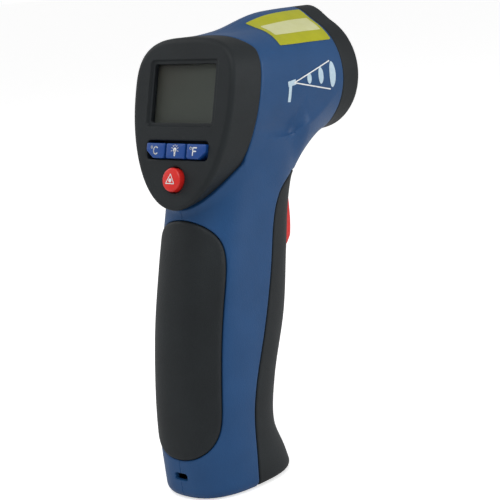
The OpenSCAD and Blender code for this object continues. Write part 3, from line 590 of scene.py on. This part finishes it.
def middle_rule(p):
    return p[:, 1]


def hole(cx, cz, r):
    """Everything but a round hole bored along Y."""
    return lambda p: np.hypot(p[:, 0] - cx, p[:, 2] - cz) - r


def bore(cz, r, rear):
    """Everything but a round hole bored along X ahead of rear."""
    return lambda p: np.where(p[:, 0] > rear, np.hypot(p[:, 1], p[:, 2] - cz) - r, 30.0)


def face_coords(p):
    """Right, up and out on the display face, seen from behind the thermometer."""
    x, z = p[:, 0] - FACE_X, p[:, 2] - AXIS_H
    s, c = math.sin(FACE_TILT), math.cos(FACE_TILT)
    return -p[:, 1], x * s + z * c, -x * c + z * s


# ---------- Mouldings ----------
TRIGGER_W, TRIGGER_LOW, TRIGGER_HIGH = 14.0, NECK_Z - 16, NECK_Z + 3
SCREWS = [(RING_X - 7, AXIS_H - NOSE_R + 5.2), (FACE_X + 24, AXIS_H + NOSE_R - 7.2),
          (HEEL_X + RAKE + 8.5, NECK_Z - 6.5), (HEEL_X + 13.5, 6.2)]
SLOT_Z, SLOT_W, SLOT_H = 7.5, 5.3, 2.4
SKIN, DOOR_WALL, RING_WALL, PAD_WALL = 1.6, 1.9, 2.0, 1.0
MOUTH_R, LASER_HOLE_R = 12.2, 2.2
PITCH = 0.8

master = Sheet(housing_form, *net(housing_form, (HEEL_X - 1, -2 * PITCH, -1),
                                  (FRONT_X + 1, BODY_W / 2 + 1, AXIS_H + NOSE_R + 4), PITCH))


def slot_rule(p):
    return np.where(p[:, 0] < HEEL_X + 6, -rounded_box(p[:, 1], p[:, 2] - SLOT_Z, SLOT_W, SLOT_H, 0.3), 30.0)


half = [(middle_rule, 0.03, 0.16), (lambda p: -cup_rule(p), 0.15, 0.45), (lambda p: -ring_rule(p), 0.08, 0.3),
        (lambda p: -door_rule(p), 0.4, 0.5), (lambda p: -pad_rule(p), 0.15, 0.45), (slot_rule, 0.0, 0.2)]
right_skin = moulding(master.copy(), half, SKIN)
left_skin = moulding(master.copy(), half + [(hole(x, z, 1.9), 0.0, 0.25) for x, z in SCREWS], SKIN)
piece("housing_right", right_skin[0] * [1, -1, 1], right_skin[1][:, ::-1], moulded_blue,
      "housing", "shell_blue", ["right_shell"])
piece("housing_left", *left_skin, moulded_blue, "housing", "shell_blue", ["left_shell"])

pad = moulding(master.copy(), [(middle_rule, 0.0, 0.0), (pad_rule, 0.0, 0.9)], PAD_WALL, PAD_PROUD, True)
piece("grip_pad", *pad, soft_black, "housing", "soft_black", ["rear_grip_pad"])


def trigger_gap(p):
    mid, tall = (TRIGGER_LOW + TRIGGER_HIGH) / 2, TRIGGER_HIGH - TRIGGER_LOW
    gap = rounded_box(p[:, 1], p[:, 2] - mid + 0.35, TRIGGER_W + 1.2, tall + 2.5, 1.5)
    return np.where(p[:, 0] > 0, -gap, 30.0)


door = moulding(master.copy(), [(middle_rule, 0.0, 0.0), (door_rule, 0.0, 0.5), (lambda p: p[:, 2], 0.5, 0.3),
                                (trigger_gap, 0.0, 0.6)], DOOR_WALL, 0.0, True)
piece("battery_cover", *door, soft_black, "battery_door", "soft_black", ["battery_door"])

ring = moulding(master.copy(), [(middle_rule, 0.0, 0.0), (ring_rule, 0.0, 0.3),
                                (bore(AXIS_H, MOUTH_R, FRONT_X - 3), 0.0, 0.7),
                                (bore(RIDGE_Z - 0.5, LASER_HOLE_R, FRONT_X - 3), 0.0, 0.3)],
                RING_WALL, 0.0, True)
piece("nose_cap", *ring, soft_black, "housing", "soft_black", ["nose_ring"])

# Display face: the recess and the key openings are sunk into its flat front
WINDOW_V, WIN_W, WIN_H = 0.5, 26.0, 18.4
KEY_DROP, LASER_KEY_DROP, LASER_KEY_R = 17.6, 26.6, 3.75
KEY_W, KEY_H, KEY_PITCH = 7.9, 4.7, 8.7
RECESS, FACE_WALL = 0.6, 2.2
bezel_pitch = 0.6
bezel = Sheet(barrel_form, *net(barrel_form, (FACE_X - 11, -2 * bezel_pitch, AXIS_H - 38),
                                (FACE_X + 20, BODY_W / 2 + 1, AXIS_H + 21), bezel_pitch))


def on_face(outline, far=30.0):
    def rule(p):
        u, v, w = face_coords(p)
        return np.where(w > -1.2, outline(u, v), far)
    return rule


recess = on_face(lambda u, v: rounded_box(u, v - WINDOW_V, WIN_W + 3.2, WIN_H + 2.8, 1.6), -30.0)
window_gap = on_face(lambda u, v: -rounded_box(u, v - WINDOW_V, WIN_W, WIN_H, 0.8))
key_gap = on_face(lambda u, v: -rounded_box(u, v + KEY_DROP - 0.3, 2 * KEY_PITCH + KEY_W + 0.7,
                                            KEY_H + 1.3, 1.2))
laser_gap = on_face(lambda u, v: np.hypot(u, v + LASER_KEY_DROP) - LASER_KEY_R - 0.35)
for level in (0.0, 0.12, 0.3, 0.5):
    bezel.score(recess, level, 0.02)
bezel_rules = [(middle_rule, 0.0, 0.0), (skirt_rule, 0.0, 0.35), (window_gap, 0.0, 0.15), (key_gap, 0.0, 0.4),
               (laser_gap, 0.0, 0.4)]
for rule, gap, r in bezel_rules:
    bezel.trim(rule, gap, [r * k for k in (0.07, 0.3, 1.0)] if r > 0 else ())
p = bezel.points
drop = np.zeros(len(p))
for rule, gap, r in bezel_rules[1:]:
    h = np.clip(rule(p) - gap, 0, r)
    drop = np.maximum(drop, r - np.sqrt(np.maximum(r * r - (r - h) ** 2, 0)))
drop += RECESS * ease(np.clip(recess(p), 0, 0.5) / 0.5)
n = outward(barrel_form, p)
outer, inner = p - n * drop[:, None], p - n * FACE_WALL
outer, t = mirrored_like(p, outer, bezel.tris)
inner, _ = mirrored_like(p, inner)
piece("display_surround", *close_wall(outer, inner, t), soft_black,
      "housing", "soft_black", ["display_bezel"])


# ---------- Small pieces on the display face ----------
def face_point(u, v, w):
    """Millimetres in the frame, from right, up and out on the display face."""
    s, c = math.sin(FACE_TILT), math.cos(FACE_TILT)
    u, v, w = np.broadcast_arrays(np.asarray(u, float), np.asarray(v, float), np.asarray(w, float))
    return np.stack([FACE_X + v * s - w * c, -u, AXIS_H + v * c + w * s], -1)


def outline_of(corners, radii, steps=6):
    """Closed outline with rounded corners, anticlockwise."""
    pts = []
    m = len(corners)
    for i, (c, r) in enumerate(zip(corners, radii)):
        a, b = np.array(corners[i - 1], float), np.array(corners[(i + 1) % m], float)
        c = np.array(c, float)
        da, db = (a - c) / np.linalg.norm(a - c), (b - c) / np.linalg.norm(b - c)
        turn = math.acos(np.clip(da @ db, -1, 1)) / 2
        mid = (da + db) / np.linalg.norm(da + db)
        centre = c + mid * r / math.sin(turn)
        start, stop = c + da * r / math.tan(turn) - centre, c + db * r / math.tan(turn) - centre
        a0 = math.atan2(start[1], start[0])
        sweep = (math.atan2(stop[1], stop[0]) - a0 + math.pi) % (2 * math.pi) - math.pi
        turns = [a0 + sweep * k / steps for k in range(steps + 1)]
        pts += [centre + r * np.array([math.cos(a), math.sin(a)]) for a in turns]
    return np.array(pts)


def cap(outline, low, high, r, crown=0.0, rows=5):
    """Button: rings from the outline up its side, over a rounded edge and in to a crowned middle."""
    centre = outline.mean(0)
    step = np.roll(outline, -1, 0) - np.roll(outline, 1, 0)
    normal = np.stack([step[:, 1], -step[:, 0]], 1) / np.linalg.norm(step, axis=1)[:, None]
    rings = [np.c_[outline, np.full(len(outline), low)]]
    for k in range(rows + 1):
        a = math.pi / 2 * k / rows
        rings.append(np.c_[outline - normal * r * (1 - math.cos(a)),
                           np.full(len(outline), high - r + r * math.sin(a))])
    top = outline - normal * r
    for share in (0.85, 0.6, 0.3):
        q = centre + (top - centre) * share
        rings.append(np.c_[q, np.full(len(q), high + crown * (1 - share**2))])
    count = len(outline)
    points = np.concatenate(rings + [[[centre[0], centre[1], high + crown]]])
    faces = []
    for i in range(len(rings) - 1):
        for j in range(count):
            k = (j + 1) % count
            faces.append((i * count + j, i * count + k, (i + 1) * count + k, (i + 1) * count + j))
    last = (len(rings) - 1) * count
    faces += [(last + j, last + (j + 1) % count, len(points) - 1) for j in range(count)]
    faces.append(tuple(range(count))[::-1])
    return points, faces


def key_outline(corner):
    w, h = KEY_W / 2, KEY_H / 2
    left = [(-w, -h + 2.3), (-w + 3.0, -h)] if corner < 0 else [(-w, -h)]
    right = [(w - 3.0, -h), (w, -h + 2.3)] if corner > 0 else [(w, -h)]
    corners = left + right + [(w, h), (-w, h)]
    swept = len(corners) > 4
    return outline_of(corners, [0.9 if swept and y < h - 0.1 and abs(x) > 1 else 0.45 for x, y in corners])


for node, place, corner in (("celsius_key", -1, -1), ("backlight_key", 0, 0), ("fahrenheit_key", 1, 1)):
    pts, faces = cap(key_outline(corner) + [place * KEY_PITCH, -KEY_DROP], -3.0, 0.8, 0.45, 0.12)
    piece(node.replace("key", "button"), face_point(*pts.T), faces, key_blue, node, "key_blue", [node])
circle = np.array([[math.cos(a), math.sin(a)] for a in np.linspace(0, 2 * math.pi, 64, endpoint=False)])
pts, faces = cap(circle * LASER_KEY_R + [0, -LASER_KEY_DROP], -3.0, 1.8, 0.7, 0.15, 7)
piece("laser_button", face_point(*pts.T), faces, signal_red, "laser_key", "signal_red", ["laser_key"])


# ---------- Pad printing ----------
def ribbon(path, width, closed=False):
    """Flat line of one width through 2-D points, with round ends."""
    q = np.array(path, float)
    n = len(q)
    faces, pts = [], []
    for i in range(n if closed else n - 1):
        a, b = q[i], q[(i + 1) % n]
        d = (b - a) / max(np.linalg.norm(b - a), 1e-9)
        side = np.array([-d[1], d[0]]) * width / 2
        base = len(pts)
        pts += [a - side, b - side, b + side, a + side]
        faces.append((base, base + 1, base + 2, base + 3))
    for c in q:
        base = len(pts)
        pts += [c + width / 2 * np.array([math.cos(a), math.sin(a)])
                for a in np.linspace(0, 2 * math.pi, 12, endpoint=False)]
        faces.append(tuple(range(base, base + 12)))
    return pts, faces


def arc(cx, cy, rx, ry, a0, a1, steps=18):
    return [(cx + rx * math.cos(a), cy + ry * math.sin(a)) for a in np.radians(np.linspace(a0, a1, steps))]


def disc(cx, cy, r, steps=24):
    turns = np.linspace(0, 2 * math.pi, steps, endpoint=False)
    return [(cx + r * math.cos(a), cy + r * math.sin(a)) for a in turns]


def print_on_key(name, parts, centre, height, finish, body, slot):
    pts, faces = [], []
    for kind, data in parts:
        p, f = kind(*data) if kind else (list(data), [tuple(range(len(data)))])
        faces += [tuple(i + len(pts) for i in face) for face in f]
        pts += [np.array(v, float) for v in p]
    pts = np.array(pts) + centre
    return piece(name, face_point(pts[:, 0], pts[:, 1], height), faces, finish, body, slot)


degree = (ribbon, (arc(-1.45, 1.0, 0.36, 0.36, 0, 360, 14), 0.24))
letter_c = (ribbon, (arc(0.35, 0.0, 0.95, 1.15, 48, 312, 20), 0.42))
letter_f = [(ribbon, ([(-0.45, -1.2), (-0.45, 1.15), (1.05, 1.15)], 0.42)),
            (ribbon, ([(-0.45, 0.05), (0.8, 0.05)], 0.42))]
print_on_key("celsius_print", [degree, letter_c], (-KEY_PITCH + 0.1, -KEY_DROP), 0.95, white_print,
             "celsius_key", "white_plastic")
print_on_key("fahrenheit_print", [degree] + letter_f, (KEY_PITCH - 0.6, -KEY_DROP), 0.95, white_print,
             "fahrenheit_key", "white_plastic")
bulb = [(None, disc(0, 0.35, 0.72)), (ribbon, ([(0, 0.2), (0, -1.35)], 0.62))]
bulb += [(ribbon, ([(q * math.cos(a), 0.35 + q * math.sin(a)) for q in (1.15, 1.55)], 0.22))
         for a in np.radians([-15, 25, 58, 90, 122, 155, 195])]
print_on_key("backlight_print", bulb, (0, -KEY_DROP), 0.96, white_print, "backlight_key", "white_plastic")
tri = [(-1.75, -1.35), (1.75, -1.35), (0, 1.65)]
print_on_key("laser_print", [(ribbon, (tri, 0.28, True)), (None, disc(0, -0.35, 0.62))],
             (0, -LASER_KEY_DROP + 0.1), 1.99, white_print, "laser_key", "white_plastic")


def on_side(points, lift):
    """Points on the right-hand side of the barrel, from x and z, lifted off its surface."""
    q = np.array([(x, 18.0, z) for x, z in points])
    for _ in range(8):
        w = q + [0, 0.01, 0]
        f = housing_form(q)
        q[:, 1] -= f / ((housing_form(w) - f) / 0.01)
    return (q + outward(housing_form, q) * lift) * [1, -1, 1]


def print_on_side(name, grids, look, lift):
    """Printed shapes on the right-hand side; each is a grid of x and z points."""
    pts, faces = [], []
    for grid in grids:
        rows, cols = grid.shape[:2]
        base = sum(len(v) for v in pts)
        pts.append(on_side(grid.reshape(-1, 2), lift))
        faces += [(k, k + cols, k + cols + 1, k + 1)
                  for k in (base + i * cols + j for i in range(rows - 1) for j in range(cols - 1))]
    return piece(name, np.concatenate(pts), faces, look, "housing", "white_plastic")


def stroke(x0, z0, x1, z1, width, steps=40):
    """Straight printed line."""
    a, b = np.array([x0, z0]), np.array([x1, z1])
    side = np.array([z0 - z1, x1 - x0]) / np.linalg.norm(b - a) * width / 2
    t = np.linspace(0, 1, steps)[:, None, None]
    return a + (b - a) * t + side * np.array([-1, 0, 1])[None, :, None]


def spot(x, z, rx, rz):
    """Filled oval."""
    r, a = np.linspace(0.02, 1, 6)[:, None], np.linspace(0, 2 * math.pi, 49)[None, :]
    return np.stack([x + rx * r * np.cos(a), z + rz * r * np.sin(a)], -1)


# The beam widens from the pistol towards the nose; the spots stand across it
INK, INK_OVER = 0.06, 0.09
print_on_side("beam_spots", [spot(13.4, 127.7, 1.15, 1.75), spot(19.6, 127.9, 1.3, 2.7),
                             spot(25.8, 127.6, 1.6, 4.2)], pale_print, INK)
print_on_side("beam_lines", [stroke(5.3, 127.2, 25.1, 132.1, 0.4), stroke(5.3, 127.2, 24.7, 122.9, 0.4)],
              white_print, INK_OVER)
print_on_side("pistol_print", [stroke(2.2, 127.0, 6.2, 127.4, 1.7, 12),
                               stroke(3.4, 127.0, 2.6, 121.4, 1.5, 12)], pale_print, INK)


def print_on_barrel(name, rules, look, slot, lift, sheet):
    """Stickers on the right-hand side, cut from the barrel's own surface."""
    pts, faces = [], []
    for rule in rules:
        s = sheet.copy().trim(rule)
        q = s.points + outward(housing_form, s.points) * lift
        faces += [tuple(f) for f in s.tris[:, ::-1] + sum(len(v) for v in pts)]
        pts.append(q * [1, -1, 1])
    return piece(name, np.concatenate(pts), faces, look, "housing", slot)


# Yellow sticker on the shoulder of the barrel, left blank
label_patch = master.copy().trim(lambda p: np.minimum(p[:, 0] - FACE_X - 20, p[:, 2] - AXIS_H - 6))
label_patch.trim(lambda p: RING_X - 0.4 - p[:, 0]).trim(middle_rule, 0.5)
SHOULDER_R = 21.0


def sticker(x0, x1, a0, a1, r=0.4):
    """Rectangle on the barrel: from x0 to x1, and between two angles from the top."""
    degree_mm = math.radians(SHOULDER_R)

    def rule(p):
        turn = np.degrees(np.arctan2(p[:, 1], p[:, 2] - AXIS_H))
        return rounded_box(p[:, 0] - (x0 + x1) / 2, (turn - (a0 + a1) / 2) * degree_mm,
                           x1 - x0, (a1 - a0) * degree_mm, r)
    return rule


print_on_barrel("sticker", [sticker(3.6, 30.6, 10.5, 55.5)], sticker_yellow,
                "white_plastic", 0.10, label_patch)
print_on_barrel("sticker_panel", [sticker(5.6, 29.2, 24.0, 43.0)], sticker_cream,
                "white_plastic", 0.13, label_patch)


# ---------- Trigger ----------
TRIGGER_OUT, TRIGGER_DEPTH = 4.6, 8


def trigger_front(u):
    """Front of the trigger in the middle plane: least proud at its ends."""
    z = TRIGGER_HIGH + (TRIGGER_LOW - TRIGGER_HIGH) * u
    swell = 0.35 + 0.65 * np.sin(np.minimum(u * 1.3, 1) * math.pi / 2) - 0.35 * ease((u - 0.8) / 0.2)
    return station(GRIP, 2, z) + TRIGGER_OUT * swell, z


rows = []
for u in np.linspace(0, 1, 41):
    x, z = trigger_front(np.array([u]))
    end = 1.6 * (1 - math.sqrt(max(1 - (1 - min(u, 1 - u) / 0.07) ** 2, 0))) if min(u, 1 - u) < 0.07 else 0
    row = []
    for a in np.linspace(-90, 90, 25):
        c, s = math.cos(math.radians(a)), math.sin(math.radians(a))
        row.append([x[0] - end - 2.2 * (1 - abs(c) ** 0.45),
                    TRIGGER_W / 2 * math.copysign(abs(s) ** 0.55, s), z[0]])
    back_x = x[0] - TRIGGER_DEPTH
    rows.append([[back_x, -TRIGGER_W / 2, z[0]]] + row + [[back_x, TRIGGER_W / 2, z[0]]])
rows = np.array(rows)
wide = rows.shape[1]
faces = [(i * wide + j, (i + 1) * wide + j, (i + 1) * wide + (j + 1) % wide, i * wide + (j + 1) % wide)
         for i in range(len(rows) - 1) for j in range(wide)]
faces += [tuple(range(wide))[::-1], tuple((len(rows) - 1) * wide + j for j in range(wide))]
piece("trigger_lever", rows.reshape(-1, 3), [f[::-1] for f in faces], signal_red,
      "trigger", "signal_red", ["trigger"])


# ---------- CAD pieces that stay as they are ----------
CARRIED = {
    clear_acrylic: ["display_window", "laser_window"], lcd_glass: ["lcd_panel"],
    white_plastic: ["lcd_backlight"],
    silicone: ["contact_strip", "keypad_mat"], solder_mask: ["main_board", "sensor_board"],
    chip_epoxy: ["controller_chip", "trigger_switch", "buzzer"], battery_jacket: ["battery"],
    inner_black: ["battery_snap", "battery_tray", "lens_tube"], milky_lens: ["lens"],
    turned_brass: ["laser_module"],
    zinc_steel: ["door_pin", "trigger_pin", "trigger_spring", "sensor_can", "housing_screws", "board_screws"]}
for look, node in [(look, node) for look, nodes in CARRIED.items() for node in nodes]:
    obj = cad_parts[node]
    obj.data.materials.clear()
    obj.data.materials.append(look)
    for poly in obj.data.polygons:
        poly.material_index = 0


# ---------- Floor, light and camera ----------
ROOM_LEVEL = 0.40                # what the white room throws on the object
PAPER_LIFT = 0.62                # what the camera sees over the paper's own light


def paper_floor():
    """White paper sweep; the camera sees it a little brighter, so that it runs out to white."""
    mat, tree, shader = finish("white_paper", Roughness=0.9)
    place = add(tree, "ShaderNodeTexCoord").outputs["Object"]
    fibre = add(tree, "ShaderNodeTexNoise", None, Vector=place, Scale=900.0, Detail=3.0).outputs["Fac"]
    tree.links.new(ramp(tree, fibre, [(0.2, "EDEDED"), (0.8, "F2F2F2")]), shader.inputs["Base Color"])
    seen = add(tree, "ShaderNodeLightPath")
    lift = add(tree, "ShaderNodeMath", {"operation": "MULTIPLY"},
               _0=seen.outputs["Is Camera Ray"], _1=PAPER_LIFT)
    glow = add(tree, "ShaderNodeEmission", None, Color=(1, 1, 1, 1), Strength=lift.outputs[0])
    both = add(tree, "ShaderNodeAddShader", None, _0=shader.outputs[0], _1=glow.outputs[0])
    tree.links.new(both.outputs[0], tree.nodes["Material Output"].inputs["Surface"])
    return mat


mesh = bpy.data.meshes.new("paper")
mesh.from_pydata([(-6, -6, 0), (6, -6, 0), (6, 6, 0), (-6, 6, 0)], [], [(0, 1, 2, 3)])
paper = bpy.data.objects.new("paper", mesh)
bpy.context.scene.collection.objects.link(paper)
paper.location.z = -0.0002
mesh.materials.append(paper_floor())

scene = bpy.context.scene
world = bpy.data.worlds.new("studio")
scene.world = world
world.use_nodes = True
wt = world.node_tree
back = wt.nodes["Background"]
path = add(wt, "ShaderNodeLightPath")
level = add(wt, "ShaderNodeMapRange", None, Value=path.outputs["Is Camera Ray"],
            To_Min=ROOM_LEVEL, To_Max=1.0)
wt.links.new(level.outputs["Result"], back.inputs["Strength"])
back.inputs["Color"].default_value = (1, 1, 1, 1)


def lamp(name, place, size, power, aim=(0, 0, 0.08)):
    data = bpy.data.lights.new(name, "AREA")
    data.size, data.energy = size, power
    obj = bpy.data.objects.new(name, data)
    obj.location = place
    obj.rotation_euler = (Vector(aim) - Vector(place)).to_track_quat("-Z", "Y").to_euler()
    scene.collection.objects.link(obj)
    return obj


lamp("key_light", (-0.5, -0.25, 0.85), 0.6, 3.6)
lamp("side_light", (0.35, -0.75, 0.35), 0.5, 2.4)
lamp("rear_light", (-0.2, 0.8, 0.5), 0.6, 1.8)

# Camera: turned and tipped to the view, 0.5 m from the middle of the object
TURN, TIP, ROLL, REACH = math.radians(41.8), math.radians(11.1), math.radians(4.8), 0.5
target = Vector((0.0009, 0, 0.0727))
out = Vector((-math.cos(TURN) * math.cos(TIP), -math.sin(TURN) * math.cos(TIP), math.sin(TIP)))
right = Vector((math.sin(TURN), -math.cos(TURN), 0))
up = out.cross(right)
if up.z < 0:
    up = -up
right, up = right * math.cos(ROLL) - up * math.sin(ROLL), right * math.sin(ROLL) + up * math.cos(ROLL)
camera = bpy.data.objects.new("camera", bpy.data.cameras.new("camera"))
camera.data.sensor_width, camera.data.lens = 36.0, 36.0 * 3.035
turned = Matrix((right, up, out)).transposed().to_4x4()
camera.matrix_world = Matrix.Translation(target + out * REACH) @ turned
scene.collection.objects.link(camera)
scene.camera = camera
scene.view_settings.view_transform = "Standard"
